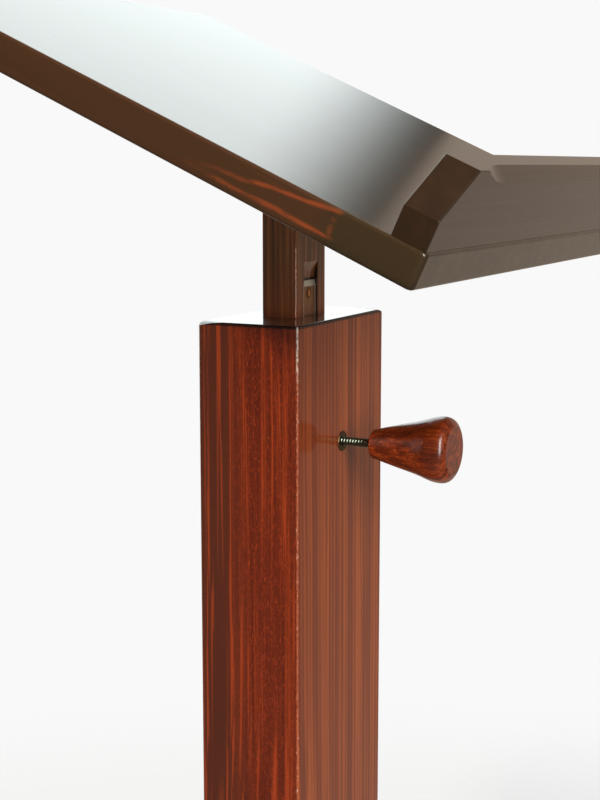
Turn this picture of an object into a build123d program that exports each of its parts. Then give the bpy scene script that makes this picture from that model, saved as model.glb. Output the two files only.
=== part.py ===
from build123d import *
from math import cos, radians, sin
import os

# A floor-standing photo album stand. A hollow rectangular column stands on a plinth. An inner post
# slides in the column and carries a sloping tray with a ledge along its low edge. A turned knob on a
# threaded stud presses a pad against a steel strip let into the post, which holds the tray's height.
# Millimetres. The origin is on the floor, on the column's axis. +Z is up and -Y is the reader's side.

# Column
COLUMN_WIDTH = 127.0
COLUMN_DEPTH = 69.0
COLUMN_TOP = 800.0
BOARD = 15.0
ARRIS_RADIUS = 2.0
TOP_EDGE_RADIUS = 1.2
CORNER_EASE_START = 64.0
CORNER_EASE_RADIUS = 13.0
CORNER_EASE_REACH = 12.0

# Base
GLIDE_HEIGHT = 6.0
GLIDE_RADIUS = 16.0
GLIDE_INSET = 34.0
GLIDE_CHAMFER = 1.0
PLINTH_WIDTH = 400.0
PLINTH_DEPTH = 340.0
PLINTH_HEIGHT = 28.0
PLINTH_CORNER_RADIUS = 14.0
PLINTH_EDGE_RADIUS = 7.0
MOULDING = 22.0
MOULDING_STEP = 4.0
FOOT_BLOCK_HEIGHT = 60.0
BOLT_SPACING = 56.0
BOLT_RADIUS = 4.0
BOLT_LENGTH = 66.0
BOLT_HEAD_RADIUS = 6.5
BOLT_HEAD_HEIGHT = 5.5
BOLT_POCKET_RADIUS = 9.5
BOLT_POCKET_DEPTH = 9.0
WASHER_RADIUS = 8.5
WASHER_THICKNESS = 1.6

# Inner post
POST_WIDTH = 42.0
POST_DEPTH = 24.0
POST_BOTTOM = 360.0
POST_ARRIS_RADIUS = 1.0
POST_GAP = 0.3
TRAVEL_UP = 200.0
GUIDE_HEIGHT = 45.0
STOP_WIDTH = 70.0
STOP_DEPTH = 34.0
STOP_HEIGHT = 20.0
STOP_CHAMFER = 2.0
STOP_SCREW_SPACING = 24.0
STOP_SCREW_BITE = 25.0
STOP_GAP = 0.5

# Steel strip in the post's front face
GROOVE_WIDTH = 20.0
GROOVE_DEPTH = 2.9
GROOVE_RUNOUT = 12.0
GROOVE_BEND = (0.62, 0.6)  # the run-out arc's middle, as shares of the groove's depth and run-out
STRIP_WIDTH = 19.8
STRIP_THICKNESS = 1.2
STRIP_TOP = COLUMN_TOP + 22.5
STRIP_BOTTOM = 500.0
STRIP_BEVEL_LENGTH = 3.6
STRIP_BEVEL_DEPTH = 0.8
STRIP_SCREW_INSET = 8.0
STRIP_SCREW_LENGTH = 14.0
STRIP_SLOT_ANGLE = 60.0

# Clamp
CLAMP_Z = COLUMN_TOP - 79.7
STUD_RADIUS = 3.0
STUD_EXPOSED = 21.6
STUD_IN_KNOB = 34.0
STUD_TIP_RADIUS = 2.0
STUD_TIP_LENGTH = 2.0
STUD_FIT = 0.05
INSERT_RADIUS = 4.8
FLANGE_RADIUS = 6.6
FLANGE_THICKNESS = 0.6
FLANGE_CHAMFER = 0.3
PAD_RADIUS = 8.0
PAD_THICKNESS = 4.0
PAD_GAP = 0.2
PAD_CHAMFER = 0.6
KNOB_LENGTH = 55.0
KNOB_SMALL_RADIUS = 9.5
KNOB_LARGE_RADIUS = 20.8
KNOB_END_RADIUS = 15.2
KNOB_WIDEST = 47.7
KNOB_FLARE = [(19.2, 13.9), (35.2, 18.0)]  # distance from the small end, radius
KNOB_ROUNDING = 2.0

# Tray
TRAY_TILT = 24.5
TRAY_WIDTH = 400.0
TRAY_LENGTH = 385.0
TRAY_THICKNESS = 20.0
TRAY_FRONT_REACH = 178.8
TRAY_AXIS_Z = COLUMN_TOP + 109.4
TRAY_CORNER_RADIUS = 4.0
TRAY_EDGE_RADIUS = 2.0
LEDGE_SET_BACK = 1.5
LEDGE_THICKNESS = 20.0
LEDGE_HEIGHT = 42.0
LEDGE_CLIP = 26.0
LEDGE_EDGE_RADIUS = 0.8
LEDGE_SCREW_PLACES = (-150.0, -50.0, 50.0, 150.0)
LEDGE_SCREW_BITE = 22.0
SCALLOP_START = 38.0
SCALLOP_RUN = 34.0
SCALLOP_DROP = 7.0
SCALLOP_DEPTH = 7.0
SADDLE_WIDTH = 96.0
SADDLE_LENGTH = 108.0
SADDLE_THICKNESS = 25.0
SADDLE_CORNER_RADIUS = 6.0
SADDLE_CHAMFER = 4.0
SADDLE_SCREW_X = 36.0
SADDLE_SCREW_Y = 42.0
PIN_RADIUS = 4.0
BATTEN_LENGTH = 280.0
BATTEN_WIDTH = 30.0
BATTEN_THICKNESS = 14.0
BATTEN_PLACE = 118.0
BATTEN_CHAMFER = 4.0
BATTEN_SCREW_PLACES = (-125.0, 0.0, 125.0)
TRAY_SCREW_BITE = 13.0

# Wood screws
SCREW_RADIUS = 1.8
SCREW_HEAD_RADIUS = 3.6
SCREW_HEAD_HEIGHT = 2.2
SCREW_SLOT_WIDTH = 0.9
SCREW_SLOT_DEPTH = 0.9
HOLE_CLEARANCE = 0.05

# How far a cutting shape runs past the face that it cuts.
OVERCUT = 1.0

COLUMN_BOTTOM = GLIDE_HEIGHT + PLINTH_HEIGHT
COLUMN_FRONT = -COLUMN_DEPTH / 2
CAVITY_WIDTH = COLUMN_WIDTH - 2 * BOARD
CAVITY_DEPTH = COLUMN_DEPTH - 2 * BOARD
LOWER_GUIDE_BOTTOM = POST_BOTTOM + TRAVEL_UP + STOP_GAP
POST_FACE = -POST_DEPTH / 2
GROOVE_FLOOR = POST_FACE + GROOVE_DEPTH
STRIP_FACE = GROOVE_FLOOR - STRIP_THICKNESS
PAD_FRONT = STRIP_FACE - PAD_GAP - PAD_THICKNESS
KNOB_START = COLUMN_FRONT - STUD_EXPOSED
BOLT_SEAT = GLIDE_HEIGHT + BOLT_POCKET_DEPTH
TRAY_MIDDLE = TRAY_LENGTH / 2 - TRAY_FRONT_REACH
LEDGE_MIDDLE = LEDGE_SET_BACK + LEDGE_THICKNESS / 2 - TRAY_FRONT_REACH

tilt = radians(TRAY_TILT)
PIN_Z = TRAY_AXIS_Z - SADDLE_THICKNESS / 2 / cos(tilt)
# The tray's underside: x along the tray's width, y up the slope, z out of the reading surface.
tray_underside = Plane((0, 0, TRAY_AXIS_Z), x_dir=(1, 0, 0), z_dir=(0, -sin(tilt), cos(tilt)))
tray_surface = tray_underside.offset(TRAY_THICKNESS)
# The column's front face on the clamp's axis, with z pointing towards the reader.
clamp_face = Plane((0, COLUMN_FRONT, CLAMP_Z), x_dir=(1, 0, 0), z_dir=(0, -1, 0))

os.makedirs("parts", exist_ok=True)


def save(part, name):
    part.label = name
    export_step(part, f"parts/{name}.step")


def screw_shape(length):
    """A countersunk slotted wood screw, head up, with the top of its head at the origin."""
    with BuildPart(mode=Mode.PRIVATE) as screw:
        with BuildSketch(Plane.XZ):
            with BuildLine():
                Polyline(
                    (0, 0),
                    (SCREW_HEAD_RADIUS, 0),
                    (SCREW_RADIUS, -SCREW_HEAD_HEIGHT),
                    (SCREW_RADIUS, 3 * SCREW_RADIUS - length),
                    (0, -length),
                    close=True,
                )
            make_face()
        revolve(axis=Axis.Z)
        with BuildSketch(Plane.XY):
            Rectangle(3 * SCREW_HEAD_RADIUS, SCREW_SLOT_WIDTH)
        extrude(amount=-SCREW_SLOT_DEPTH, mode=Mode.SUBTRACT)
    return screw.part


def screws(planes, length):
    """One screw at each plane, its head's top on the plane and its shank along the plane's -z."""
    with BuildPart() as group:
        with Locations(*planes):
            add(screw_shape(length))
    return group.part


def screw_hole(length):
    """What a countersunk screw of this length needs cut away, a little larger than the screw."""
    radius = SCREW_RADIUS + HOLE_CLEARANCE
    head = SCREW_HEAD_RADIUS + HOLE_CLEARANCE
    with BuildPart(mode=Mode.PRIVATE) as hole:
        with BuildSketch(Plane.XZ):
            with BuildLine():
                Polyline(
                    (0, OVERCUT),
                    (head, OVERCUT),
                    (head, 0),
                    (radius, -SCREW_HEAD_HEIGHT),
                    (radius, -length - HOLE_CLEARANCE),
                    (0, -length - HOLE_CLEARANCE),
                    close=True,
                )
            make_face()
        revolve(axis=Axis.Z)
    return hole.part


def flipped(plane):
    """The same plane seen from its other side, for a screw that is driven from below."""
    return Plane(plane.origin, x_dir=plane.x_dir, z_dir=-plane.z_dir)


# ---- Screw places, which both the screws and their holes use ----

def driven_from_below(x, y, depth):
    """A screw's place in the tray's frame, its head's top that far below the tray's underside."""
    spot = tray_underside.from_local_coords((x, y, -depth))
    return flipped(Plane(spot, x_dir=(1, 0, 0), z_dir=tray_underside.z_dir))


ledge_screw_planes = [driven_from_below(x, LEDGE_MIDDLE, 0) for x in LEDGE_SCREW_PLACES]
LEDGE_SCREW_LENGTH = TRAY_THICKNESS + LEDGE_SCREW_BITE

batten_screw_planes = {
    side: [driven_from_below(x, place, BATTEN_THICKNESS) for x in BATTEN_SCREW_PLACES]
    for side, place in (("front", -BATTEN_PLACE), ("back", BATTEN_PLACE))
}
BATTEN_SCREW_LENGTH = BATTEN_THICKNESS + TRAY_SCREW_BITE

saddle_screw_planes = [
    driven_from_below(x, y, SADDLE_THICKNESS)
    for x in (-SADDLE_SCREW_X, SADDLE_SCREW_X)
    for y in (-SADDLE_SCREW_Y, SADDLE_SCREW_Y)
]
SADDLE_SCREW_LENGTH = SADDLE_THICKNESS + TRAY_SCREW_BITE

slot_angle = radians(STRIP_SLOT_ANGLE)
strip_screw_planes = [
    Plane((0, STRIP_FACE, z), x_dir=(cos(slot_angle), 0, sin(slot_angle)), z_dir=(0, -1, 0))
    for z in (STRIP_TOP - STRIP_SCREW_INSET, STRIP_BOTTOM + STRIP_SCREW_INSET)
]

stop_screw_planes = [
    Plane((x, 0, POST_BOTTOM - STOP_HEIGHT), x_dir=(1, 0, 0), z_dir=(0, 0, -1))
    for x in (-STOP_SCREW_SPACING / 2, STOP_SCREW_SPACING / 2)
]
STOP_SCREW_LENGTH = STOP_HEIGHT + STOP_SCREW_BITE


# ---- Column: four mitred boards ----


def column_tube():
    """The whole hollow column, with rounded arrises and sanded top corners."""
    with BuildPart(mode=Mode.PRIVATE) as tube:
        with BuildSketch(Plane.XY.offset(COLUMN_BOTTOM)):
            RectangleRounded(COLUMN_WIDTH, COLUMN_DEPTH, ARRIS_RADIUS)
            Rectangle(CAVITY_WIDTH, CAVITY_DEPTH, mode=Mode.SUBTRACT)
        extrude(amount=COLUMN_TOP - COLUMN_BOTTOM)
        fillet(tube.faces().sort_by(Axis.Z)[-1].outer_wire().edges(), TOP_EDGE_RADIUS)
        # An arc that leaves the top face level and falls away over the four corners alone.
        ease_drop = CORNER_EASE_RADIUS - (CORNER_EASE_RADIUS**2 - CORNER_EASE_REACH**2) ** 0.5
        ease_end = CORNER_EASE_START + CORNER_EASE_REACH
        with BuildSketch(Plane.XZ):
            with BuildLine():
                RadiusArc(
                    (CORNER_EASE_START, COLUMN_TOP), (ease_end, COLUMN_TOP - ease_drop),
                    CORNER_EASE_RADIUS,
                )
                Polyline(
                    (ease_end, COLUMN_TOP - ease_drop),
                    (ease_end, COLUMN_TOP + OVERCUT),
                    (CORNER_EASE_START, COLUMN_TOP + OVERCUT),
                    (CORNER_EASE_START, COLUMN_TOP),
                )
            make_face()
        revolve(axis=Axis.Z, mode=Mode.SUBTRACT)
    return tube.part


def column_board(tube, name, outer, inner):
    """The part of the tube between two mitres, from its outer edge's ends to its inner edge's."""
    with BuildPart() as board:
        add(tube)
        with BuildSketch(Plane.XY):
            with BuildLine():
                Polyline(*outer, *inner, close=True)
            make_face()
        extrude(amount=COLUMN_TOP + OVERCUT, mode=Mode.INTERSECT)
        if name == "column_front_board":
            with BuildSketch(clamp_face):
                Circle(INSERT_RADIUS + HOLE_CLEARANCE)
            extrude(amount=-BOARD, mode=Mode.SUBTRACT)
    save(board.part, name)


half_width, half_depth = COLUMN_WIDTH / 2, COLUMN_DEPTH / 2
cavity_x, cavity_y = CAVITY_WIDTH / 2, CAVITY_DEPTH / 2
tube = column_tube()
for side, sign in (("front", -1), ("back", 1)):
    column_board(
        tube,
        f"column_{side}_board",
        [(-half_width, sign * half_depth), (half_width, sign * half_depth)],
        [(cavity_x, sign * cavity_y), (-cavity_x, sign * cavity_y)],
    )
for side, sign in (("left", -1), ("right", 1)):
    column_board(
        tube,
        f"column_{side}_board",
        [(sign * half_width, -half_depth), (sign * half_width, half_depth)],
        [(sign * cavity_x, cavity_y), (sign * cavity_x, -cavity_y)],
    )


# ---- Guide blocks glued inside the column ----

for guide_name, guide_bottom in (
    ("top_guide_block", COLUMN_TOP - GUIDE_HEIGHT),
    ("lower_guide_block", LOWER_GUIDE_BOTTOM),
):
    with BuildPart() as guide_block:
        with BuildSketch(Plane.XY.offset(guide_bottom)):
            Rectangle(CAVITY_WIDTH, CAVITY_DEPTH)
            Rectangle(POST_WIDTH + 2 * POST_GAP, POST_DEPTH + 2 * POST_GAP, mode=Mode.SUBTRACT)
        extrude(amount=GUIDE_HEIGHT)
    save(guide_block.part, guide_name)


# ---- Base ----

with BuildPart() as foot_block:
    with BuildSketch(Plane.XY.offset(COLUMN_BOTTOM)):
        Rectangle(CAVITY_WIDTH, CAVITY_DEPTH)
        with GridLocations(BOLT_SPACING, 0, 2, 1):
            Circle(BOLT_RADIUS + HOLE_CLEARANCE, mode=Mode.SUBTRACT)
    extrude(amount=FOOT_BLOCK_HEIGHT)
save(foot_block.part, "foot_block")

with BuildPart() as plinth_board:
    with BuildSketch(Plane.XY.offset(GLIDE_HEIGHT)):
        RectangleRounded(PLINTH_WIDTH, PLINTH_DEPTH, PLINTH_CORNER_RADIUS)
    extrude(amount=PLINTH_HEIGHT)
    fillet(plinth_board.faces().sort_by(Axis.Z)[-1].outer_wire().edges(), PLINTH_EDGE_RADIUS)
    with BuildSketch(Plane.XY.offset(GLIDE_HEIGHT)):
        with GridLocations(BOLT_SPACING, 0, 2, 1):
            Circle(BOLT_POCKET_RADIUS)
    extrude(amount=BOLT_POCKET_DEPTH, mode=Mode.SUBTRACT)
    with BuildSketch(Plane.XY.offset(GLIDE_HEIGHT)):
        with GridLocations(BOLT_SPACING, 0, 2, 1):
            Circle(BOLT_RADIUS + HOLE_CLEARANCE)
    extrude(amount=PLINTH_HEIGHT, mode=Mode.SUBTRACT)
save(plinth_board.part, "plinth_board")

with BuildPart() as glides:
    with BuildSketch(Plane.XY):
        with GridLocations(PLINTH_WIDTH - 2 * GLIDE_INSET, PLINTH_DEPTH - 2 * GLIDE_INSET, 2, 2):
            Circle(GLIDE_RADIUS)
    extrude(amount=GLIDE_HEIGHT)
    chamfer(glides.edges().group_by(Axis.Z)[0], GLIDE_CHAMFER)
save(glides.part, "glides")

with BuildPart() as base_washers:
    with BuildSketch(Plane.XY.offset(BOLT_SEAT - WASHER_THICKNESS)):
        with GridLocations(BOLT_SPACING, 0, 2, 1):
            Circle(WASHER_RADIUS)
            Circle(BOLT_RADIUS + 2 * HOLE_CLEARANCE, mode=Mode.SUBTRACT)
    extrude(amount=WASHER_THICKNESS)
save(base_washers.part, "base_washers")

with BuildPart() as base_bolts:
    with BuildSketch(Plane.XY.offset(BOLT_SEAT - WASHER_THICKNESS)):
        with GridLocations(BOLT_SPACING, 0, 2, 1):
            Circle(BOLT_RADIUS)
    extrude(amount=BOLT_LENGTH)
    with BuildSketch(Plane.XY.offset(BOLT_SEAT - WASHER_THICKNESS)):
        with GridLocations(BOLT_SPACING, 0, 2, 1):
            RegularPolygon(BOLT_HEAD_RADIUS, 6)
    extrude(amount=-BOLT_HEAD_HEIGHT)
save(base_bolts.part, "base_bolts")


def moulding_ring():
    """A step with a chamfered strip above it, carried all round the column."""
    with BuildPart(mode=Mode.PRIVATE) as ring:
        with BuildSketch(Plane.XY.offset(COLUMN_BOTTOM)):
            Rectangle(COLUMN_WIDTH + 2 * MOULDING, COLUMN_DEPTH + 2 * MOULDING)
        extrude(amount=MOULDING_STEP)
        upper_reach = MOULDING - MOULDING_STEP
        with BuildSketch(Plane.XY.offset(COLUMN_BOTTOM + MOULDING_STEP)):
            Rectangle(COLUMN_WIDTH + 2 * upper_reach, COLUMN_DEPTH + 2 * upper_reach)
        extrude(amount=upper_reach)
        chamfer(ring.faces().sort_by(Axis.Z)[-1].outer_wire().edges(), upper_reach - MOULDING_STEP)
        with BuildSketch(Plane.XY.offset(COLUMN_BOTTOM)):
            Rectangle(COLUMN_WIDTH, COLUMN_DEPTH)
        extrude(amount=MOULDING, mode=Mode.SUBTRACT)
    return ring.part


def corners(x, y):
    """The four corners of a rectangle about the column's axis, in order round it."""
    return [(-x, -y), (x, -y), (x, y), (-x, y)]


ring = moulding_ring()
outer_corners = corners(half_width + MOULDING, half_depth + MOULDING)
inner_corners = corners(half_width, half_depth)
for place, side in enumerate(("front", "right", "back", "left")):
    following = (place + 1) % 4
    with BuildPart() as base_moulding:
        add(ring)
        with BuildSketch(Plane.XY):
            Polygon(
                outer_corners[place],
                outer_corners[following],
                inner_corners[following],
                inner_corners[place],
                align=None,
            )
        extrude(amount=COLUMN_BOTTOM + MOULDING + OVERCUT, mode=Mode.INTERSECT)
    save(base_moulding.part, f"base_moulding_{side}")


# ---- Inner post ----

with BuildPart() as inner_post:
    with BuildSketch(Plane.XY.offset(POST_BOTTOM)):
        RectangleRounded(POST_WIDTH, POST_DEPTH, POST_ARRIS_RADIUS)
    extrude(amount=TRAY_AXIS_Z + POST_DEPTH - POST_BOTTOM)
    split(bisect_by=tray_underside, keep=Keep.BOTTOM)
    # The groove is open at the post's foot and runs out to nothing above the strip.
    with BuildSketch(Plane.YZ):
        with BuildLine():
            groove_top = STRIP_TOP + GROOVE_RUNOUT
            bend_depth, bend_rise = GROOVE_BEND
            Polyline(
                (POST_FACE - OVERCUT, POST_BOTTOM - OVERCUT),
                (GROOVE_FLOOR, POST_BOTTOM - OVERCUT),
                (GROOVE_FLOOR, STRIP_TOP),
            )
            ThreePointArc(
                (GROOVE_FLOOR, STRIP_TOP),
                (POST_FACE + bend_depth * GROOVE_DEPTH, STRIP_TOP + bend_rise * GROOVE_RUNOUT),
                (POST_FACE, groove_top),
            )
            Polyline(
                (POST_FACE, groove_top),
                (POST_FACE - OVERCUT, groove_top),
                (POST_FACE - OVERCUT, POST_BOTTOM - OVERCUT),
            )
        make_face()
    extrude(amount=GROOVE_WIDTH / 2, both=True, mode=Mode.SUBTRACT)
    # Tenon pin.
    with BuildSketch(Plane.YZ.offset(-POST_WIDTH)):
        with Locations((0, PIN_Z)):
            Circle(PIN_RADIUS + HOLE_CLEARANCE)
    extrude(amount=2 * POST_WIDTH, mode=Mode.SUBTRACT)
    with Locations(*strip_screw_planes):
        add(screw_hole(STRIP_SCREW_LENGTH), mode=Mode.SUBTRACT)
    with Locations(*stop_screw_planes):
        add(screw_hole(STOP_SCREW_LENGTH), mode=Mode.SUBTRACT)
save(inner_post.part, "inner_post")

with BuildPart() as wear_strip:
    with BuildSketch(Plane.XZ.offset(-GROOVE_FLOOR)):
        with Locations((0, (STRIP_TOP + STRIP_BOTTOM) / 2)):
            Rectangle(STRIP_WIDTH, STRIP_TOP - STRIP_BOTTOM)
    extrude(amount=STRIP_THICKNESS)
    front_face = wear_strip.faces().sort_by(Axis.Y)[0]
    front_edges = front_face.edges().sort_by(Axis.Z)
    chamfer(
        [front_edges[0], front_edges[-1]], STRIP_BEVEL_LENGTH, STRIP_BEVEL_DEPTH,
        reference=front_face,
    )
    with Locations(*strip_screw_planes):
        add(screw_hole(STRIP_SCREW_LENGTH), mode=Mode.SUBTRACT)
save(wear_strip.part, "wear_strip")
save(screws(strip_screw_planes, STRIP_SCREW_LENGTH), "strip_screws")

with BuildPart() as stop_block:
    with BuildSketch(Plane.XY.offset(POST_BOTTOM)):
        Rectangle(STOP_WIDTH, STOP_DEPTH)
    extrude(amount=-STOP_HEIGHT)
    chamfer(stop_block.edges().filter_by(Axis.Z), STOP_CHAMFER)
    with Locations(*stop_screw_planes):
        add(screw_hole(STOP_SCREW_LENGTH), mode=Mode.SUBTRACT)
save(stop_block.part, "stop_block")
save(screws(stop_screw_planes, STOP_SCREW_LENGTH), "stop_screws")


# ---- Clamp ----

with BuildPart() as clamp_insert:
    with BuildSketch(clamp_face):
        Circle(INSERT_RADIUS)
    extrude(amount=-BOARD)
    with BuildSketch(clamp_face):
        Circle(FLANGE_RADIUS)
    extrude(amount=FLANGE_THICKNESS)
    chamfer(clamp_insert.edges().group_by(Axis.Y)[0], FLANGE_CHAMFER)
    with BuildSketch(clamp_face.offset(FLANGE_THICKNESS)):
        Circle(STUD_RADIUS + STUD_FIT)
    extrude(amount=-BOARD - FLANGE_THICKNESS, mode=Mode.SUBTRACT)
save(clamp_insert.part, "clamp_insert")

with BuildPart() as pressure_pad:
    pad_face = Plane((0, PAD_FRONT, CLAMP_Z), x_dir=(1, 0, 0), z_dir=(0, -1, 0))
    with BuildSketch(pad_face):
        Circle(PAD_RADIUS)
    extrude(amount=-PAD_THICKNESS)
    chamfer(pressure_pad.edges(), PAD_CHAMFER)
    with BuildSketch(pad_face):
        Circle(STUD_TIP_RADIUS + STUD_FIT)
    extrude(amount=-STUD_TIP_LENGTH - HOLE_CLEARANCE, mode=Mode.SUBTRACT)
save(pressure_pad.part, "pressure_pad")

with BuildPart() as clamp_stud:
    with BuildSketch(pad_face.offset(HOLE_CLEARANCE)):
        Circle(STUD_RADIUS)
    stud_end = KNOB_START - STUD_IN_KNOB
    extrude(amount=PAD_FRONT - HOLE_CLEARANCE - stud_end)
    with BuildSketch(pad_face.offset(HOLE_CLEARANCE)):
        Circle(STUD_TIP_RADIUS)
    extrude(amount=-STUD_TIP_LENGTH)
save(clamp_stud.part, "clamp_stud")

with BuildPart() as clamp_knob:
    knob_profile = Plane((0, KNOB_START, CLAMP_Z), x_dir=(0, -1, 0), z_dir=(1, 0, 0))
    with BuildSketch(knob_profile):
        with BuildLine():
            RadiusArc(
                (0, KNOB_SMALL_RADIUS - KNOB_ROUNDING), (KNOB_ROUNDING, KNOB_SMALL_RADIUS),
                KNOB_ROUNDING,
            )
            Spline(
                (KNOB_ROUNDING, KNOB_SMALL_RADIUS),
                *KNOB_FLARE,
                (KNOB_WIDEST, KNOB_LARGE_RADIUS),
                tangents=[(1, 0.25), (1, 0)],
            )
            Spline(
                (KNOB_WIDEST, KNOB_LARGE_RADIUS),
                (KNOB_LENGTH, KNOB_END_RADIUS),
                tangents=[(1, 0), (0.35, -1)],
            )
            Polyline(
                (KNOB_LENGTH, KNOB_END_RADIUS),
                (KNOB_LENGTH, 0),
                (0, 0),
                (0, KNOB_SMALL_RADIUS - KNOB_ROUNDING),
            )
        make_face()
    revolve(axis=Axis((0, 0, CLAMP_Z), (0, -1, 0)))
    with BuildSketch(Plane(knob_profile.origin, x_dir=(1, 0, 0), z_dir=(0, -1, 0))):
        Circle(STUD_RADIUS + HOLE_CLEARANCE)
    extrude(amount=STUD_IN_KNOB + HOLE_CLEARANCE, mode=Mode.SUBTRACT)
save(clamp_knob.part, "clamp_knob")


# ---- Tray and what joins it to the post ----

with BuildPart() as tray_saddle:
    with BuildSketch(tray_underside):
        RectangleRounded(SADDLE_WIDTH, SADDLE_LENGTH, SADDLE_CORNER_RADIUS)
    extrude(amount=-SADDLE_THICKNESS)
    chamfer(tray_saddle.faces().sort_by(Axis.Z)[0].outer_wire().edges(), SADDLE_CHAMFER)
    with BuildSketch(Plane.XY.offset(TRAY_AXIS_Z)):
        RectangleRounded(
            POST_WIDTH + 2 * HOLE_CLEARANCE, POST_DEPTH + 2 * HOLE_CLEARANCE, POST_ARRIS_RADIUS
        )
    extrude(amount=2 * SADDLE_THICKNESS, both=True, mode=Mode.SUBTRACT)
    with BuildSketch(Plane.YZ.offset(-SADDLE_WIDTH)):
        with Locations((0, PIN_Z)):
            Circle(PIN_RADIUS + HOLE_CLEARANCE)
    extrude(amount=2 * SADDLE_WIDTH, mode=Mode.SUBTRACT)
    with Locations(*saddle_screw_planes):
        add(screw_hole(SADDLE_SCREW_LENGTH), mode=Mode.SUBTRACT)
save(tray_saddle.part, "tray_saddle")
save(screws(saddle_screw_planes, SADDLE_SCREW_LENGTH), "saddle_screws")

with BuildPart() as saddle_pin:
    with BuildSketch(Plane.YZ.offset(-SADDLE_WIDTH / 2)):
        with Locations((0, PIN_Z)):
            Circle(PIN_RADIUS)
    extrude(amount=SADDLE_WIDTH)
save(saddle_pin.part, "saddle_pin")

with BuildPart() as tray_board:
    with BuildSketch(tray_underside):
        with Locations((0, TRAY_MIDDLE)):
            RectangleRounded(TRAY_WIDTH, TRAY_LENGTH, TRAY_CORNER_RADIUS)
    extrude(amount=TRAY_THICKNESS)
    broad_faces = tray_board.faces().sort_by(SortBy.AREA)[-2:]
    fillet(broad_faces[0].outer_wire().edges() + broad_faces[1].outer_wire().edges(), TRAY_EDGE_RADIUS)
    with Locations(*ledge_screw_planes):
        add(screw_hole(LEDGE_SCREW_LENGTH), mode=Mode.SUBTRACT)
    with Locations(*saddle_screw_planes):
        add(screw_hole(SADDLE_SCREW_LENGTH), mode=Mode.SUBTRACT)
    for side in ("front", "back"):
        with Locations(*batten_screw_planes[side]):
            add(screw_hole(BATTEN_SCREW_LENGTH), mode=Mode.SUBTRACT)
save(tray_board.part, "tray_board")

for side, place in (("front", -BATTEN_PLACE), ("back", BATTEN_PLACE)):
    with BuildPart() as tray_batten:
        with BuildSketch(tray_underside):
            with Locations((0, place)):
                Rectangle(BATTEN_LENGTH, BATTEN_WIDTH)
        extrude(amount=-BATTEN_THICKNESS)
        lower_face = tray_batten.faces().sort_by(Axis(tray_underside.origin, tray_underside.z_dir))[0]
        chamfer(lower_face.outer_wire().edges(), BATTEN_CHAMFER)
        with Locations(*batten_screw_planes[side]):
            add(screw_hole(BATTEN_SCREW_LENGTH), mode=Mode.SUBTRACT)
    save(tray_batten.part, f"tray_batten_{side}")
    save(screws(batten_screw_planes[side], BATTEN_SCREW_LENGTH), f"batten_screws_{side}")

with BuildPart() as tray_ledge:
    ledge_front = Plane(
        tray_surface.from_local_coords((0, LEDGE_SET_BACK - TRAY_FRONT_REACH, 0)),
        x_dir=(1, 0, 0),
        z_dir=-tray_surface.y_dir,
    )
    ledge_x = TRAY_WIDTH / 2 - LEDGE_SET_BACK
    scallop_flat = TRAY_WIDTH / 2 - SCALLOP_START - SCALLOP_RUN
    outlines = []
    with BuildSketch(ledge_front):
        with BuildLine():
            Polyline(
                (-ledge_x, 0),
                (ledge_x, 0),
                (ledge_x, LEDGE_HEIGHT - LEDGE_CLIP),
                (ledge_x - LEDGE_CLIP, LEDGE_HEIGHT),
                (LEDGE_CLIP - ledge_x, LEDGE_HEIGHT),
                (-ledge_x, LEDGE_HEIGHT - LEDGE_CLIP),
                close=True,
            )
        make_face()
    extrude(amount=-LEDGE_THICKNESS)
    ledge_edges = tray_ledge.edges().filter_by(
        lambda edge: (edge.center() - tray_surface.origin).dot(tray_surface.z_dir) > LEDGE_EDGE_RADIUS
    )
    fillet(ledge_edges, LEDGE_EDGE_RADIUS)
    # A stopped chamfer along the top front edge, with a curved run-out at each end. Its outline on
    # the ledge's front face is lofted to the same outline further in and higher up.
    for inward, lift in ((-1.0, -1.0), (SCALLOP_DEPTH, SCALLOP_DROP)):
        with BuildSketch(ledge_front.offset(-inward)) as outline:
            with BuildLine():
                floor = Line(
                    (-scallop_flat, LEDGE_HEIGHT - SCALLOP_DROP + lift),
                    (scallop_flat, LEDGE_HEIGHT - SCALLOP_DROP + lift),
                )
                run_out = Spline(
                    floor @ 1,
                    (scallop_flat + SCALLOP_RUN, LEDGE_HEIGHT + lift + 1.0),
                    tangents=[(1, 0), (1, 0.5)],
                )
                mirror(run_out, about=Plane.YZ)
                Polyline(
                    run_out @ 1,
                    (scallop_flat + SCALLOP_RUN, LEDGE_HEIGHT + SCALLOP_DROP + 5.0),
                    (-scallop_flat - SCALLOP_RUN, LEDGE_HEIGHT + SCALLOP_DROP + 5.0),
                    (-scallop_flat - SCALLOP_RUN, LEDGE_HEIGHT + lift + 1.0),
                )
            make_face()
        outlines.append(outline.sketch)
    loft(sections=outlines, ruled=True, mode=Mode.SUBTRACT)
    with Locations(*ledge_screw_planes):
        add(screw_hole(LEDGE_SCREW_LENGTH), mode=Mode.SUBTRACT)
save(tray_ledge.part, "tray_ledge")
save(screws(ledge_screw_planes, LEDGE_SCREW_LENGTH), "ledge_screws")
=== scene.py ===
import math

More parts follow.
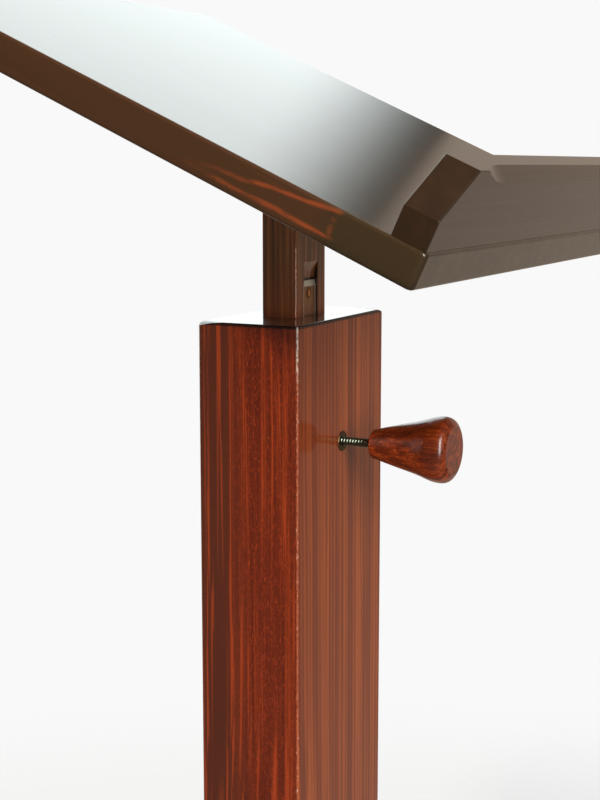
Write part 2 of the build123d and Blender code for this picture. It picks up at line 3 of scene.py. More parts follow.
import bpy
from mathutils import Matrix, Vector


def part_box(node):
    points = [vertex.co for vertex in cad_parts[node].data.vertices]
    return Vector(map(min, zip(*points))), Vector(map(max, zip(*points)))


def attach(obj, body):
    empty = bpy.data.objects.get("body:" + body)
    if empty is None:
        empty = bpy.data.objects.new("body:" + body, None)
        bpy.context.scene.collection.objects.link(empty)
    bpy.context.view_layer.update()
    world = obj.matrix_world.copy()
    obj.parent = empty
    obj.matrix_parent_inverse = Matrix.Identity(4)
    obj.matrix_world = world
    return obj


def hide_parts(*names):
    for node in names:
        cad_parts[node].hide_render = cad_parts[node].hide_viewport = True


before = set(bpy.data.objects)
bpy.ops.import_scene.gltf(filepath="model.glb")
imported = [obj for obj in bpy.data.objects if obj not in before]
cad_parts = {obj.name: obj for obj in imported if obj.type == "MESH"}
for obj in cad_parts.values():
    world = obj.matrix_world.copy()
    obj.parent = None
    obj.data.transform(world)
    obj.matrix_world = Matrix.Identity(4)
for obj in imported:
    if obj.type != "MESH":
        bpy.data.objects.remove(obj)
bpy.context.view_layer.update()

# A lacquered wooden album stand. Objects, lights and the camera are placed in metres, and MM is a
# millimetre of them. The materials' patterns are laid out in millimetres.
MM = 0.001

# ---- Camera: where it stands from the column's top centre, and its lens ----

CAMERA_BACK = Vector((-0.8837, -0.4419, 0.1545)).normalized()
CAMERA_OFFSET = Vector((-857.29, -432.90, 94.63)) * MM
CAMERA_LENS = 67.38
SENSOR = 36.0

# ---- Driving sizes, read from the frame. The tray's slope is the one given here. ----

column_low, column_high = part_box("column_front_board")
column_side_low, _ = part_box("column_left_board")
post_low, post_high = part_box("inner_post")
strip_low, strip_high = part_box("wear_strip")
_, strip_screws_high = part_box("strip_screws")
tray_low, tray_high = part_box("tray_board")
stud_low, stud_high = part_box("clamp_stud")
knob_low, knob_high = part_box("clamp_knob")
TRAY_TILT = math.radians(24.5)

# In metres.
COLUMN_TOP = column_high.z
CLAMP_AXIS = (knob_low.z + knob_high.z) / 2
STUD_RADIUS = (stud_high.x - stud_low.x) / 2

# In millimetres, for the materials. -Y is the front.
COLUMN_RIM = COLUMN_TOP / MM
COLUMN_HALF_WIDTH = -column_side_low.x / MM
COLUMN_HALF_DEPTH = -column_low.y / MM
POST_HALF_WIDTH = post_high.x / MM
POST_FRONT = post_low.y / MM
STRIP_LEFT = strip_low.x / MM
STRIP_RIGHT = strip_high.x / MM
STRIP_TOP = strip_high.z / MM
HEAD_RADIUS = strip_screws_high.x / MM
TOP_HEAD = strip_screws_high.z / MM - HEAD_RADIUS
TRAY_END = tray_high.x / MM
tray_middle = (tray_low + tray_high) / 2 / MM
TRAY_ALONG = tray_middle.y * math.cos(TRAY_TILT) + tray_middle.z * math.sin(TRAY_TILT)
TRAY_OVER = tray_middle.z * math.cos(TRAY_TILT) - tray_middle.y * math.sin(TRAY_TILT)


# ---- Node helpers ----

def put(tree, kind, inputs=None, **settings):
    """Adds a node. An input given as a socket is linked, and any other is set."""
    made = tree.nodes.new(kind)
    for name, value in settings.items():
        setattr(made, name, value)
    for name, value in (inputs or {}).items():
        if isinstance(value, bpy.types.NodeSocket):
            tree.links.new(value, made.inputs[name])
        else:
            made.inputs[name].default_value = value
    return made


def maths(tree, operation, first, second=0.0):
    return put(tree, "ShaderNodeMath", {0: first, 1: second}, operation=operation).outputs[0]


def plus(tree, first, second):
    return maths(tree, "ADD", first, second)


def minus(tree, first, second):
    return maths(tree, "SUBTRACT", first, second)


def times(tree, *factors):
    product = factors[0]
    for factor in factors[1:]:
        product = maths(tree, "MULTIPLY", product, factor)
    return product


def blend(tree, factor, first, second):
    """Mixes two colours."""
    made = put(tree, "ShaderNodeMix", {0: factor, 6: first, 7: second}, data_type="RGBA")
    return made.outputs[2]


def paint(tree, colour, mask, strength, tone):
    """Lays a tone over the colour where the mask is 1, at that strength."""
    return blend(tree, times(tree, mask, strength), colour, tone)


def ramp(tree, value, low, high):
    """0 below low, 1 above high, smooth in between."""
    made = put(
        tree,
        "ShaderNodeMapRange",
        {"Value": value, "From Min": low, "From Max": high},
        interpolation_type="SMOOTHSTEP",
    )
    return made.outputs[0]


def fall(tree, value, low, high):
    """1 below low, 0 above high, smooth in between."""
    return minus(tree, 1.0, ramp(tree, value, low, high))


def band(tree, value, middle, core, edge):
    """1 within core of middle, 0 beyond edge from it."""
    return fall(tree, maths(tree, "ABSOLUTE", minus(tree, value, middle)), core, edge)


def place(tree, rotation=(0, 0, 0), stretch=(1, 1, 1), shift=(0, 0, 0)):
    """Object coordinates in millimetres, turned, shifted and then stretched."""
    coords = put(tree, "ShaderNodeTexCoord").outputs["Object"]
    turned = put(
        tree,
        "ShaderNodeMapping",
        {"Vector": coords, "Rotation": rotation, "Scale": [1 / MM] * 3, "Location": shift},
    ).outputs[0]
    return put(
        tree, "ShaderNodeVectorMath", {0: turned, 1: stretch}, operation="MULTIPLY"
    ).outputs[0]


def axes(tree, rotation=(0, 0, 0), shift=(0, 0, 0)):
    """The three object coordinates in millimetres, turned and shifted."""
    return put(tree, "ShaderNodeSeparateXYZ", {0: place(tree, rotation, shift=shift)}).outputs


def noise(tree, vector, scale, detail=2.0, roughness=0.5, distortion=0.0):
    made = put(
        tree,
        "ShaderNodeTexNoise",
        {
            "Vector": vector,
            "Scale": scale,
            "Detail": detail,
            "Roughness": roughness,
            "Distortion": distortion,
        },
    )
    return made.outputs[0]


def bump(tree, shader, height, strength, distance, socket="Normal"):
    """Relief from a height map, whose full height is that distance in millimetres."""
    made = put(
        tree,
        "ShaderNodeBump",
        {"Height": height, "Strength": strength, "Distance": distance * MM},
    )
    tree.links.new(made.outputs[0], shader.inputs[socket])


def rgb(red, green, blue):
    """A linear colour from 0-255 display values."""
    def linear(value):
        value /= 255
        return value / 12.92 if value <= 0.04045 else ((value + 0.055) / 1.055) ** 2.4
    return (linear(red), linear(green), linear(blue), 1.0)


def dimmed(colour, share):
    """A colour at that share of its brightness."""
    return [channel * share for channel in colour[:3]] + [1.0]


def new_material(name):
    material = bpy.data.materials.new(name)
    material.use_nodes = True
    tree = material.node_tree
    shader = tree.nodes["Principled BSDF"]
    return material, tree, shader


# ---- Lacquered wood ----

# The share of its scale that each pattern has along the grain.
WANDER_SHARE = 0.25
FIBRE_SHARE = 0.012
FLECK_SHARE = 0.30
PORE_SHARE = 0.10
RIPPLE_SHARE = 0.4
# Scales, in cycles per millimetre, and two in cycles per growth line.
WANDER_SCALE = 0.012
FLECK_SCALE = 0.95
PORE_SCALE = 1.9
RIPPLE_SCALE = 0.035
HAIR_PER_LINE = 2.6
WIDE_PER_LINE = 0.20
# How much of the tone the growth lines and the finer hair between them make.
LINE_WEIGHT = 0.62
HAIR_WEIGHT = 0.38
# Millimetres.
BAND_SPACING = 4.8
GROUND_FROM = 2
GROUND_TO = 16
GROUND_WANDER = 40


def wood(name, dark, middle, bright, grain="Z", rotation=(0, 0, 0), shift=(0, 0, 0), line=5.0,
         sway=3.0, contrast=0.10, streak=0.5, streak_from=0.56, fleck=0.0, coat=1.0,
         coat_roughness=0.04, ground=None, bands=0.0, marks_and_light=None):
    """Stained wood under gloss lacquer. line is the spacing of the growth lines in millimetres,
    sway how far they wander, contrast the width of their edges (small is sharp), streak how much
    bright colour runs along the grain and streak_from the noise level where it starts, fleck how
    much short curly figure there is, bands how strong the even growth rings are, and ground the
    darker tone of the board's back third. coat is the lacquer's weight, and worn is a function
    that adds the piece's own marks: wear and figure, and on some pieces painted highlights and
    painted shade."""
    material, tree, shader = new_material(name)
    axis = "XYZ".index(grain)

    def laid(share, scale=1):
        """Coordinates at that scale across the grain, and at that share of it along the grain."""
        stretch = [scale * share if index == axis else scale for index in range(3)]
        return place(tree, rotation, stretch, shift)

    # The whole figure wanders slowly along its length.
    wander = minus(tree, noise(tree, laid(WANDER_SHARE, WANDER_SCALE), 1.0, 1.0), 0.5)
    offset = times(tree, wander, 4 * sway)
    push = put(tree, "ShaderNodeCombineXYZ", {
        index: offset for index in range(3) if index != axis
    }).outputs[0]
    fibres = put(
        tree, "ShaderNodeVectorMath", {0: laid(FIBRE_SHARE), 1: push}, operation="ADD"
    ).outputs[0]
    lines = noise(tree, fibres, 1.0 / line, 1.0, 0.4)
    hair = noise(tree, fibres, HAIR_PER_LINE / line, 2.0, 0.6)
    mixed = plus(tree, times(tree, lines, LINE_WEIGHT), times(tree, hair, HAIR_WEIGHT))
    if bands:
        across = put(tree, "ShaderNodeSeparateXYZ", {0: fibres}).outputs[0]
        rings = maths(tree, "SINE", times(tree, across, 2 * math.pi / BAND_SPACING))
        mixed = plus(tree, mixed, times(tree, rings, bands))
    colour = blend(tree, ramp(tree, mixed, 0.5 - contrast, 0.5 + contrast), dark, middle)

    fleck_room = 1.0
    if ground is not None:
        wide = noise(tree, fibres, WIDE_PER_LINE / line, 1.0)
        edge = times(tree, minus(tree, wide, 0.5), GROUND_WANDER)
        _, depth, _ = axes(tree)
        behind = ramp(tree, plus(tree, depth, edge), GROUND_FROM, GROUND_TO)
        colour = paint(tree, colour, behind, 0.85, ground)
        fleck_room = minus(tree, 1.0, behind)
    glow = times(
        tree, ramp(tree, hair, streak_from, streak_from + 0.08), ramp(tree, lines, 0.42, 0.58)
    )
    colour = paint(tree, colour, glow, streak, bright)
    if fleck:
        curl = noise(tree, laid(FLECK_SHARE), FLECK_SCALE, 3.0, 0.7, 1.2)
        curl = times(tree, ramp(tree, curl, 0.50, 0.68), fleck_room)
        colour = paint(tree, colour, curl, fleck, bright)
    # Open pores: short dark dashes along the grain.
    pores = ramp(tree, noise(tree, laid(PORE_SHARE), PORE_SCALE, 1.0), 0.66, 0.80)
    colour = paint(tree, colour, pores, 0.4, dimmed(dark, 0.45))
    # The piece's own marks, which on some pieces include painted highlights and painted shade.
    if marks_and_light is not None:
        colour = marks_and_light(tree, colour)
    tree.links.new(colour, shader.inputs["Base Color"])
    tree.links.new(plus(tree, times(tree, hair, 0.2), 0.36), shader.inputs["Roughness"])
    bump(tree, shader, hair, 0.10, 0.1)

    # The lacquer's own surface has a faint long ripple.
    ripple = noise(tree, laid(RIPPLE_SHARE), RIPPLE_SCALE, 1.0)
    bump(tree, shader, ripple, 0.06, 0.2, socket="Coat Normal")
    shader.inputs["Specular IOR Level"].default_value = 0.2
    shader.inputs["Coat Weight"].default_value = coat
    shader.inputs["Coat Roughness"].default_value = coat_roughness
    shader.inputs["Coat IOR"].default_value = 1.5
    return material


# ---- Marks, painted highlights and painted shade on single pieces, in millimetres ----

ARRIS_FULL = 0.5
COLUMN_ARRIS_REACH = 1.6
POST_ARRIS_REACH = 1.2
# How far below the rim the painted shade line starts, and where it is full.
RIM_SHADE_FROM = 2.6
RIM_SHADE_FULL = 1.4
CHIPPED_LENGTH = 60


def arris(tree, x, y, half_width, half_depth, reach):
    """1 on a box section's vertical edges, and 0 from that reach in from its faces."""
    return times(
        tree,
        ramp(tree, maths(tree, "ABSOLUTE", x), half_width - reach, half_width - ARRIS_FULL),
        ramp(tree, maths(tree, "ABSOLUTE", y), half_depth - reach, half_depth - ARRIS_FULL),
    )


def column_wear_and_light(tree, colour):
    """Lacquer thinned by wear along the column's rounded vertical edges, which are also painted
    lighter there as a highlight, and chipped near the top, and a painted shade line round the rim."""
    x, y, z = axes(tree)
    edge = arris(tree, x, y, COLUMN_HALF_WIDTH, COLUMN_HALF_DEPTH, COLUMN_ARRIS_REACH)
    speckle = noise(tree, place(tree, stretch=(1, 1, 0.35)), 1.1, 3.0, 0.7)
    # Lighter along the vertical edges: lacquer thinned by wear, and partly a painted highlight.
    rubbed_and_highlit = times(tree, edge, ramp(tree, speckle, 0.30, 0.60))
    colour = paint(tree, colour, rubbed_and_highlit, 0.55, rgb(190, 105, 70))
    # Painted shade: a dark line round the rim.
    rim_shade = ramp(tree, z, COLUMN_RIM - RIM_SHADE_FROM, COLUMN_RIM - RIM_SHADE_FULL)
    colour = paint(tree, colour, rim_shade, 0.9, rgb(16, 7, 4))
    near_top = ramp(tree, z, COLUMN_RIM - CHIPPED_LENGTH, COLUMN_RIM)
    chips = plus(tree, speckle, times(tree, near_top, 0.22))
    chipped = times(tree, edge, ramp(tree, chips, 0.60, 0.70))
    return paint(tree, colour, chipped, 0.9, rgb(196, 186, 170))


def post_light_and_marks(tree, colour):
    """The post's painted light, which makes its lower part warmer, and painted highlights spotted
    along its arrises. Also the bright left edge of its groove, and painted shadow in the groove
    beside the strip and above it."""
    x, y, z = axes(tree)
    # Painted light: warmer orange on the post's lower part, up to a little above the column's rim.
    painted_base_light = fall(tree, z, COLUMN_RIM - 10, COLUMN_RIM + 45)
    colour = paint(tree, colour, painted_base_light, 0.55, rgb(140, 58, 20))
    # Painted highlights, unevenly spotted along the post's vertical edges.
    highlight_patches = ramp(tree, noise(tree, place(tree, stretch=(1, 1, 0.2)), 0.8, 2.0), 0.35, 0.55)
    edge = arris(tree, x, y, POST_HALF_WIDTH, -POST_FRONT, POST_ARRIS_REACH)
    colour = paint(tree, colour, times(tree, edge, highlight_patches), 0.7, rgb(190, 96, 44))
    groove_edge = times(
        tree,
        band(tree, x, STRIP_LEFT - 0.4, 0.35, 0.7),
        fall(tree, z, STRIP_TOP - 3, STRIP_TOP),
        fall(tree, y, POST_FRONT + 0.3, POST_FRONT + 0.6),
    )
    colour = paint(tree, colour, groove_edge, 0.8, rgb(190, 165, 130))
    # Painted shadow in the groove beside the strip and just above its top.
    inside = ramp(tree, y, POST_FRONT + 0.2, POST_FRONT + 0.6)
    beside = band(tree, x, STRIP_RIGHT + 0.1, 0.4, 0.8)
    above = times(
        tree,
        band(tree, z, STRIP_TOP + 0.6, 0.9, 1.6),
        fall(tree, maths(tree, "ABSOLUTE", x), STRIP_RIGHT, STRIP_RIGHT + 0.5),
        fall(tree, y, POST_FRONT + 8, POST_FRONT + 9),
    )
    shadow = times(tree, inside, maths(tree, "MAXIMUM", beside, above))
    return paint(tree, colour, shadow, 0.92, rgb(14, 6, 3))


# The bright figure on the tray's ends, from the board's middle: along is the distance up its slope
# and over the distance square to it.
FIGURE_START = -146.8
STREAKS_FULL = -140.8
UPPER_STREAK = 5.7
UPPER_SLANT = 0.14
UPPER_SLANT_PIVOT = -120.8
UPPER_FADE = (-105.8, -45.8)
LOWER_STREAK = -5.2
LOWER_FADE = (-90.8, -40.8)
JOINT_ALONG = -141.8
JOINT_FOOT = (-7.5, -4.5)
JOINT_HEAD = (4.5, 7.5)
GLOW_FADE = (-100.8, -60.8)
BROWN_FULL = -128.8


def tray_marks(tree, colour):
    """Two bright streaks on the board's ends that meet near the front, on a browner ground."""
    tilt = (-TRAY_TILT, 0, 0)
    x, along, level = axes(tree, tilt, (0, -TRAY_ALONG, -TRAY_OVER))
    drift = noise(tree, place(tree, stretch=(0, 1, 1)), 0.05, 1.0)
    over = plus(tree, level, times(tree, minus(tree, drift, 0.5), 2.5))
    on_end = ramp(tree, maths(tree, "ABSOLUTE", x), TRAY_END - 4, TRAY_END - 1)
    starts = ramp(tree, along, FIGURE_START, STREAKS_FULL)
    slant = times(tree, minus(tree, along, UPPER_SLANT_PIVOT), UPPER_SLANT)
    upper = times(
        tree,
        band(tree, plus(tree, over, slant), UPPER_STREAK, 0.0, 1.9),
        starts,
        fall(tree, along, *UPPER_FADE),
    )
    lower = times(
        tree, band(tree, over, LOWER_STREAK, 0.0, 2.1), starts, fall(tree, along, *LOWER_FADE)
    )
    joint = times(
        tree,
        band(tree, along, JOINT_ALONG, 0.0, 2.6),
        ramp(tree, over, *JOINT_FOOT),
        fall(tree, over, *JOINT_HEAD),
        0.6,
    )
    streaks = maths(tree, "MAXIMUM", maths(tree, "MAXIMUM", upper, lower), joint)
    uneven = noise(tree, place(tree, tilt, stretch=(0, 0.25, 1)), 0.25, 2.0)
    streaks = times(tree, streaks, on_end, ramp(tree, uneven, 0.28, 0.62), 0.8)
    ground = times(tree, ramp(tree, along, FIGURE_START, BROWN_FULL), on_end)
    colour = paint(tree, colour, ground, 0.5, rgb(70, 38, 20))
    strength = plus(tree, 0.45, times(tree, fall(tree, along, *GLOW_FADE), 0.4))
    return paint(tree, colour, streaks, strength, rgb(140, 62, 28))


def strip_highlights(tree, colour):
    """Painted highlights on the strip's top bevel and along its right edge."""
    x, _, z = axes(tree)
    # Painted highlights: near white on the top bevel and along the right edge.
    bevel_highlight = ramp(tree, z, STRIP_TOP - 3.9, STRIP_TOP - 3.5)
    edge = ramp(tree, x, STRIP_RIGHT - 1.1, STRIP_RIGHT - 0.8)
    bright = maths(tree, "MAXIMUM", bevel_highlight, times(tree, edge, 0.8))
    return blend(tree, bright, colour, rgb(250, 246, 228))


def screw_shade(tree, colour):
    """Painted shade on the rim of the strip's top screw head and over its left half, which leaves a
    bright crescent on the right. The screws below it are dark all over."""
    x, _, z = axes(tree)
    height = minus(tree, z, TOP_HEAD)
    from_middle = maths(tree, "SQRT", plus(tree, times(tree, x, x), times(tree, height, height)))
    ring = ramp(tree, from_middle, HEAD_RADIUS - 1.2, HEAD_RADIUS - 0.7)
    left_half = fall(tree, x, -0.6, 0.5)
    # Painted shade: the dark ring and the head's left half.
    dark = maths(tree, "MAXIMUM", ring, times(tree, left_half, 0.85))
    return paint(tree, colour, dark, 0.92, rgb(26, 14, 8))


# ---- Metals, rubber and bare wood ----

def metal(name, colour, roughness, brush=(1, 1, 1), contrast=0.3, metallic=1.0, marks=None):
    """Bare or plated metal with a fine brushed or cast grain and slight tarnish."""
    material, tree, shader = new_material(name)
    grain = noise(tree, place(tree, stretch=brush), 3.0, 3.0, 0.7)
    cloud = noise(tree, place(tree), 0.12, 2.0)
    toned = blend(tree, ramp(tree, grain, 0.3, 0.7), colour, dimmed(colour, 1 - contrast))
    tarnish = dimmed(colour, 1 - 0.6 * contrast)
    toned = paint(tree, toned, ramp(tree, cloud, 0.4, 0.7), 0.5, tarnish)
    # marks paints the piece's own highlights and shade.
    if marks is not None:
        toned = marks(tree, toned)
    tree.links.new(toned, shader.inputs["Base Color"])
    shader.inputs["Metallic"].default_value = metallic
    varied = plus(tree, times(tree, grain, 0.2), roughness - 0.1)
    tree.links.new(varied, shader.inputs["Roughness"])
    bump(tree, shader, grain, 0.05, 0.05)
    return material


def rubber(name):
    """Matt black rubber with a fine grain."""
    material, tree, shader = new_material(name)
    grain = noise(tree, place(tree), 1.5, 3.0, 0.6)
    tone = blend(tree, grain, rgb(22, 22, 23), rgb(46, 45, 44))
    tree.links.new(tone, shader.inputs["Base Color"])
    shader.inputs["Roughness"].default_value = 0.75
    bump(tree, shader, grain, 0.3, 0.1)
    return material


def bare_wood(name):
    """Pale sanded wood for the hidden blocks and the pin."""
    material, tree, shader = new_material(name)
    fibres = noise(tree, place(tree, stretch=(1, 1, 0.04)), 0.9, 3.0, 0.6)
    tone = blend(tree, ramp(tree, fibres, 0.35, 0.65), rgb(150, 108, 70), rgb(190, 150, 104))
    tree.links.new(tone, shader.inputs["Base Color"])
    shader.inputs["Roughness"].default_value = 0.7
    bump(tree, shader, fibres, 0.2, 0.1)
    return material


# ---- The materials and the pieces that have them ----

side_wood = wood(
    "side_wood", rgb(78, 22, 6), rgb(110, 37, 9), rgb(154, 56, 17), line=4.5, contrast=0.15,
    streak=0.6, streak_from=0.52, fleck=0.6, shift=(13, 40, 0), ground=rgb(72, 33, 20),
    marks_and_light=column_wear_and_light,
)
front_wood = wood(
    "front_wood", rgb(114, 48, 22), rgb(150, 72, 32), rgb(176, 84, 34), line=7.0, contrast=0.14,
    streak=0.5, streak_from=0.54, shift=(50, 11, 30), bands=0.07, marks_and_light=column_wear_and_light,
)
base_wood = wood(
    "base_wood", rgb(82, 28, 12), rgb(118, 46, 20), rgb(166, 72, 32), grain="X", line=9.0,
    streak=0.5, shift=(0, 70, 10), coat_roughness=0.45, coat=0.45,
)
post_wood = wood(
    "post_wood", rgb(96, 62, 38), rgb(150, 96, 54), rgb(200, 122, 62), line=3.0, sway=1.0,
    contrast=0.16, streak=0.5, shift=(9, 3, 0), marks_and_light=post_light_and_marks,
)
tray_wood = wood(
    "tray_wood", rgb(40, 32, 17), rgb(52, 38, 21), rgb(90, 56, 28), grain="Y",
    rotation=(-TRAY_TILT, 0, 0), line=14.0, sway=6.0, streak=0.3, streak_from=0.64,
    shift=(31, 0, 12), coat_roughness=0.12, marks_and_light=tray_marks,
)
ledge_wood = wood(
    "ledge_wood", rgb(37, 24, 12), rgb(44, 28, 14), rgb(62, 34, 16), grain="X",
    rotation=(-TRAY_TILT, 0, 0), line=12.0, contrast=0.3, streak=0.2, shift=(5, 22, 3),
    coat_roughness=0.08,
)
knob_wood = wood(
    "knob_wood", rgb(82, 26, 6), rgb(126, 46, 11), rgb(190, 80, 20), grain="Y", line=2.8,
    sway=4.0, contrast=0.12, streak=0.6, fleck=0.3, shift=(2, 8, 17), coat_roughness=0.2,
)
block_wood = bare_wood("block_wood")
strip_steel = metal(
    "strip_steel", rgb(196, 138, 100), 0.32, brush=(1, 1, 0.02), metallic=0.7, marks=strip_highlights
)
zinc_steel = metal("zinc_steel", rgb(134, 146, 128), 0.30, contrast=0.4)
dull_steel = metal("dull_steel", rgb(122, 102, 74), 0.42, contrast=0.4)
driven_brass = metal(
    "driven_brass", rgb(255, 166, 84), 0.3, contrast=0.2, metallic=0.5, marks=screw_shade
)
screw_brass = metal("screw_brass", rgb(214, 160, 84), 0.26, contrast=0.35)
pad_brass = metal("pad_brass", rgb(206, 164, 98), 0.35)
glide_rubber = rubber("glide_rubber")

MATERIAL_OF = {
    side_wood: ["column_left_board", "column_right_board"],
    front_wood: ["column_front_board", "column_back_board", "top_guide_block"],
    base_wood: [
        "plinth_board", "base_moulding_front", "base_moulding_back", "base_moulding_left",
        "base_moulding_right",
    ],
    post_wood: ["inner_post", "tray_saddle"],
    tray_wood: ["tray_board", "tray_batten_front", "tray_batten_back"],
    ledge_wood: ["tray_ledge"],
    knob_wood: ["clamp_knob"],
    block_wood: ["lower_guide_block", "foot_block", "stop_block", "saddle_pin"],
    strip_steel: ["wear_strip"],
    zinc_steel: ["base_bolts", "base_washers", "stop_screws"],
    dull_steel: ["clamp_insert"],
    driven_brass: ["strip_screws"],
    screw_brass: ["saddle_screws", "batten_screws_front", "batten_screws_back", "ledge_screws"],
    pad_brass: ["pressure_pad"],
    glide_rubber: ["glides"],
}
for material, node_names in MATERIAL_OF.items():
    for node_name in node_names:
        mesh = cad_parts[node_name].data
        mesh.materials.clear()
        mesh.materials.append(material)


# ---- The clamp's threaded stud ----

THREAD_PITCH = 2.0 * MM
THREAD_DEPTH = 0.55 * MM
THREAD_ROWS = 10  # rings in one pitch
THREAD_SIDES = 36
CREST_SHARE = 0.2  # of the pitch
FLANK_SHARE = 0.6  # both flanks together
TIP_LENGTH = 2.0 * MM
TIP_RADIUS = 2.0 * MM
TIP_CHAMFER = 0.3 * MM
TIP_END_RADIUS = 1.8 * MM


def thread_radius(turn):
    """The thread's radius at a share of one pitch: a flat crest, two flanks and a narrow root."""
    from_crest = abs((turn % 1.0) - 0.5) * 2
    down_flank = (from_crest - CREST_SHARE) / FLANK_SHARE
    return STUD_RADIUS - THREAD_DEPTH * min(1.0, max(0.0, down_flank))


def threaded_stud():
    """The stud from inside the pad to inside the knob, built ring by ring. The helix of its thread
    is left-handed, unlike a real one."""
    start = stud_high.y - TIP_LENGTH
    length = start - stud_low.y
    rows = int(length / THREAD_PITCH * THREAD_ROWS)
    root = thread_radius(0.0)
    vertices, faces = [], []

    def ring(y, radius_at):
        first = len(vertices)
        for side in range(THREAD_SIDES):
            angle = 2 * math.pi * side / THREAD_SIDES
            radius = radius_at(side / THREAD_SIDES)
            vertices.append((radius * math.cos(angle), y, CLAMP_AXIS + radius * math.sin(angle)))
        return first

    firsts = [
        ring(stud_high.y, lambda share: TIP_END_RADIUS),
        ring(stud_high.y - TIP_CHAMFER, lambda share: TIP_RADIUS),
        ring(start, lambda share: TIP_RADIUS),
    ]
    for row in range(rows + 1):
        travel = length * row / rows
        # The thread runs out over one pitch at each end.
        ease = min(1.0, travel / THREAD_PITCH, (length - travel) / THREAD_PITCH)
        firsts.append(ring(
            start - travel,
            lambda share: root + (thread_radius(travel / THREAD_PITCH + share) - root) * ease,
        ))
    for first, second in zip(firsts, firsts[1:]):
        for side in range(THREAD_SIDES):
            after = (side + 1) % THREAD_SIDES
            faces.append((first + side, first + after, second + after, second + side))
    faces.append(tuple(reversed(range(firsts[0], firsts[0] + THREAD_SIDES))))
    faces.append(tuple(range(firsts[-1], firsts[-1] + THREAD_SIDES)))
    mesh = bpy.data.meshes.new("clamp_stud_thread")
    mesh.from_pydata(vertices, [], faces)
    mesh.update()
    for polygon in mesh.polygons:
        polygon.use_smooth = len(polygon.vertices) == 4
    mesh.materials.append(zinc_steel)
    thread = bpy.data.objects.new("clamp_stud_thread", mesh)
    bpy.context.scene.collection.objects.link(thread)
    return thread


stud = threaded_stud()
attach(stud, "clamp_screw")
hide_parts("clamp_stud")


# ---- Floor, surroundings and light ----

FLOOR_SOLID = 0.45
FLOOR_FADE = 1.1
FLOOR_SIZE = 4.0
PAPER_TONES = ((0.86, 0.86, 0.86, 1), (0.90, 0.90, 0.89, 1))
WHITE = (1, 1, 1, 1)
SCENE_WHITE = 0.947
ROOM = rgb(140, 136, 132)
ROOM_STRENGTH = 0.9
MIRRORED = (1.0, 0.80, 0.65, 1.0)
MIRRORED_DARK = 0.10
MIRRORED_BRIGHT = 0.32


def floor():
    """A pale floor whose edge fades into the surroundings, and which no surface mirrors."""
    material, tree, shader = new_material("floor_paper")
    coords = put(tree, "ShaderNodeTexCoord").outputs["Object"]
    radius = put(tree, "ShaderNodeVectorMath", {0: coords}, operation="LENGTH").outputs["Value"]
    tone = blend(tree, noise(tree, place(tree), 0.3, 3.0), *PAPER_TONES)
    tree.links.new(tone, shader.inputs["Base Color"])
    shader.inputs["Roughness"].default_value = 0.9
    shader.inputs["Specular IOR Level"].default_value = 0.1
    solid = fall(tree, radius, FLOOR_SOLID, FLOOR_SOLID + FLOOR_FADE)
    tree.links.new(solid, shader.inputs["Alpha"])
    bpy.ops.mesh.primitive_plane_add(size=FLOOR_SIZE, location=(0, 0, 0))
    ground = bpy.context.object
    ground.name = "floor"
    ground.data.materials.append(material)
    ground.visible_glossy = False


def surroundings():
    """White behind the object and a dim room around it. What surfaces mirror is darker still, apart
    from the room's +X side short of the front."""
    world = bpy.data.worlds.new("studio")
    bpy.context.scene.world = world
    world.use_nodes = True
    tree = world.node_tree
    tree.nodes.clear()
    room = put(tree, "ShaderNodeBackground", {"Color": ROOM, "Strength": ROOM_STRENGTH})
    backdrop = put(tree, "ShaderNodeBackground", {"Color": WHITE, "Strength": SCENE_WHITE})
    direction = put(tree, "ShaderNodeTexCoord").outputs["Generated"]
    x, y, _ = put(tree, "ShaderNodeSeparateXYZ", {0: direction}).outputs
    bright_side = times(tree, ramp(tree, x, 0.0, 0.6), ramp(tree, y, -0.52, -0.26))
    level = plus(tree, MIRRORED_DARK, times(tree, bright_side, MIRRORED_BRIGHT))
    mirrored = put(tree, "ShaderNodeBackground", {"Color": MIRRORED, "Strength": level})
    path = put(tree, "ShaderNodeLightPath")
    lit = put(
        tree,
        "ShaderNodeMixShader",
        {0: path.outputs["Is Glossy Ray"], 1: room.outputs[0], 2: mirrored.outputs[0]},
    )
    both = put(
        tree,
        "ShaderNodeMixShader",
        {0: path.outputs["Is Camera Ray"], 1: lit.outputs[0], 2: backdrop.outputs[0]},
    )
    put(tree, "ShaderNodeOutputWorld", {0: both.outputs[0]})


def aim(lamp, azimuth, elevation, distance):
    """Stands a lamp that far off the column's top, at that azimuth and elevation in degrees, and
    faces it there. Azimuth 0 is the front."""
    a, e = math.radians(azimuth), math.radians(elevation)
    toward = Vector((math.sin(a) * math.cos(e), -math.cos(a) * math.cos(e), math.sin(e)))
    lamp.location = Vector((0, 0, COLUMN_TOP)) + toward * distance
    lamp.rotation_mode = "QUATERNION"
    lamp.rotation_quaternion = toward.to_track_quat("Z", "Y")
    lamp.visible_camera = False


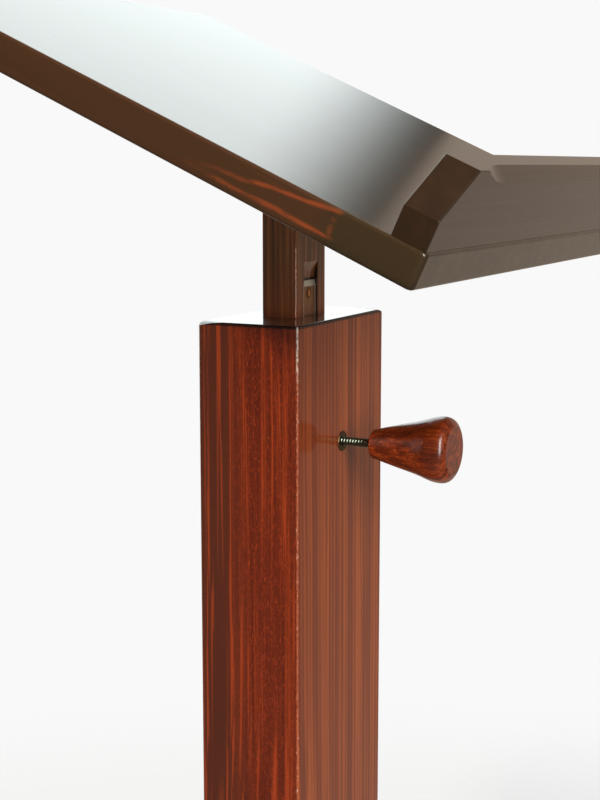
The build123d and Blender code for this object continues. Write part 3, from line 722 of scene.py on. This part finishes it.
def softbox(name, direction, distance, width, height, power, colour, mirrored=True):
    """A rectangular light. Surfaces show its mirror image only where mirrored is true."""
    data = bpy.data.lights.new(name, "AREA")
    data.shape = "RECTANGLE"
    data.size, data.size_y = width, height
    data.energy = power
    data.color = colour
    lamp = bpy.data.objects.new(name, data)
    bpy.context.scene.collection.objects.link(lamp)
    aim(lamp, *direction, distance)
    lamp.visible_glossy = mirrored


def glowing_panel(name, direction, distance, width, height, strength, colour, soft):
    """A glowing sheet whose brightness fades over that share of its width and height, at each
    side."""
    bpy.ops.mesh.primitive_plane_add(size=1)
    panel = bpy.context.object
    panel.name = name
    panel.scale = (width, height, 1)
    aim(panel, *direction, distance)
    material = bpy.data.materials.new(name)
    material.use_nodes = True
    tree = material.node_tree
    tree.nodes.clear()
    coords = put(tree, "ShaderNodeTexCoord").outputs["Object"]
    x, y, _ = put(tree, "ShaderNodeSeparateXYZ", {0: coords}).outputs
    level = strength
    for across in (x, y):
        inside = minus(tree, 0.5, maths(tree, "ABSOLUTE", across))
        level = times(tree, ramp(tree, inside, 0.0, soft), level)
    glow = put(tree, "ShaderNodeEmission", {"Color": (*colour, 1), "Strength": level})
    put(tree, "ShaderNodeOutputMaterial", {0: glow.outputs[0]})
    panel.data.materials.append(material)


floor()
surroundings()
softbox(
    "front_softbox", direction=(-28, 14), distance=2.4, width=0.8, height=1.9, power=55,
    colour=(1.0, 0.98, 0.95),
)
softbox(
    "left_lamp", direction=(-92, 39), distance=2.6, width=0.16, height=0.16, power=60,
    colour=(1.0, 0.95, 0.88), mirrored=False,
)
glowing_panel(
    "back_panel", direction=(131.4, 22), distance=3.2, width=3.2, height=2.6, strength=1.8,
    colour=(0.92, 1.0, 1.0), soft=0.16,
)
softbox(
    "top_softbox", direction=(-20, 80), distance=2.2, width=1.2, height=1.2, power=18,
    colour=(0.95, 0.98, 1.0), mirrored=False,
)


# ---- Camera ----

camera_data = bpy.data.cameras.new("camera")
camera_data.sensor_width = SENSOR
camera_data.lens = CAMERA_LENS
camera = bpy.data.objects.new("camera", camera_data)
bpy.context.scene.collection.objects.link(camera)
camera.location = Vector((0, 0, COLUMN_TOP)) + CAMERA_OFFSET
camera.rotation_mode = "QUATERNION"
camera.rotation_quaternion = (-CAMERA_BACK).to_track_quat("-Z", "Y")
bpy.context.scene.camera = camera
bpy.context.scene.view_settings.view_transform = "Standard"
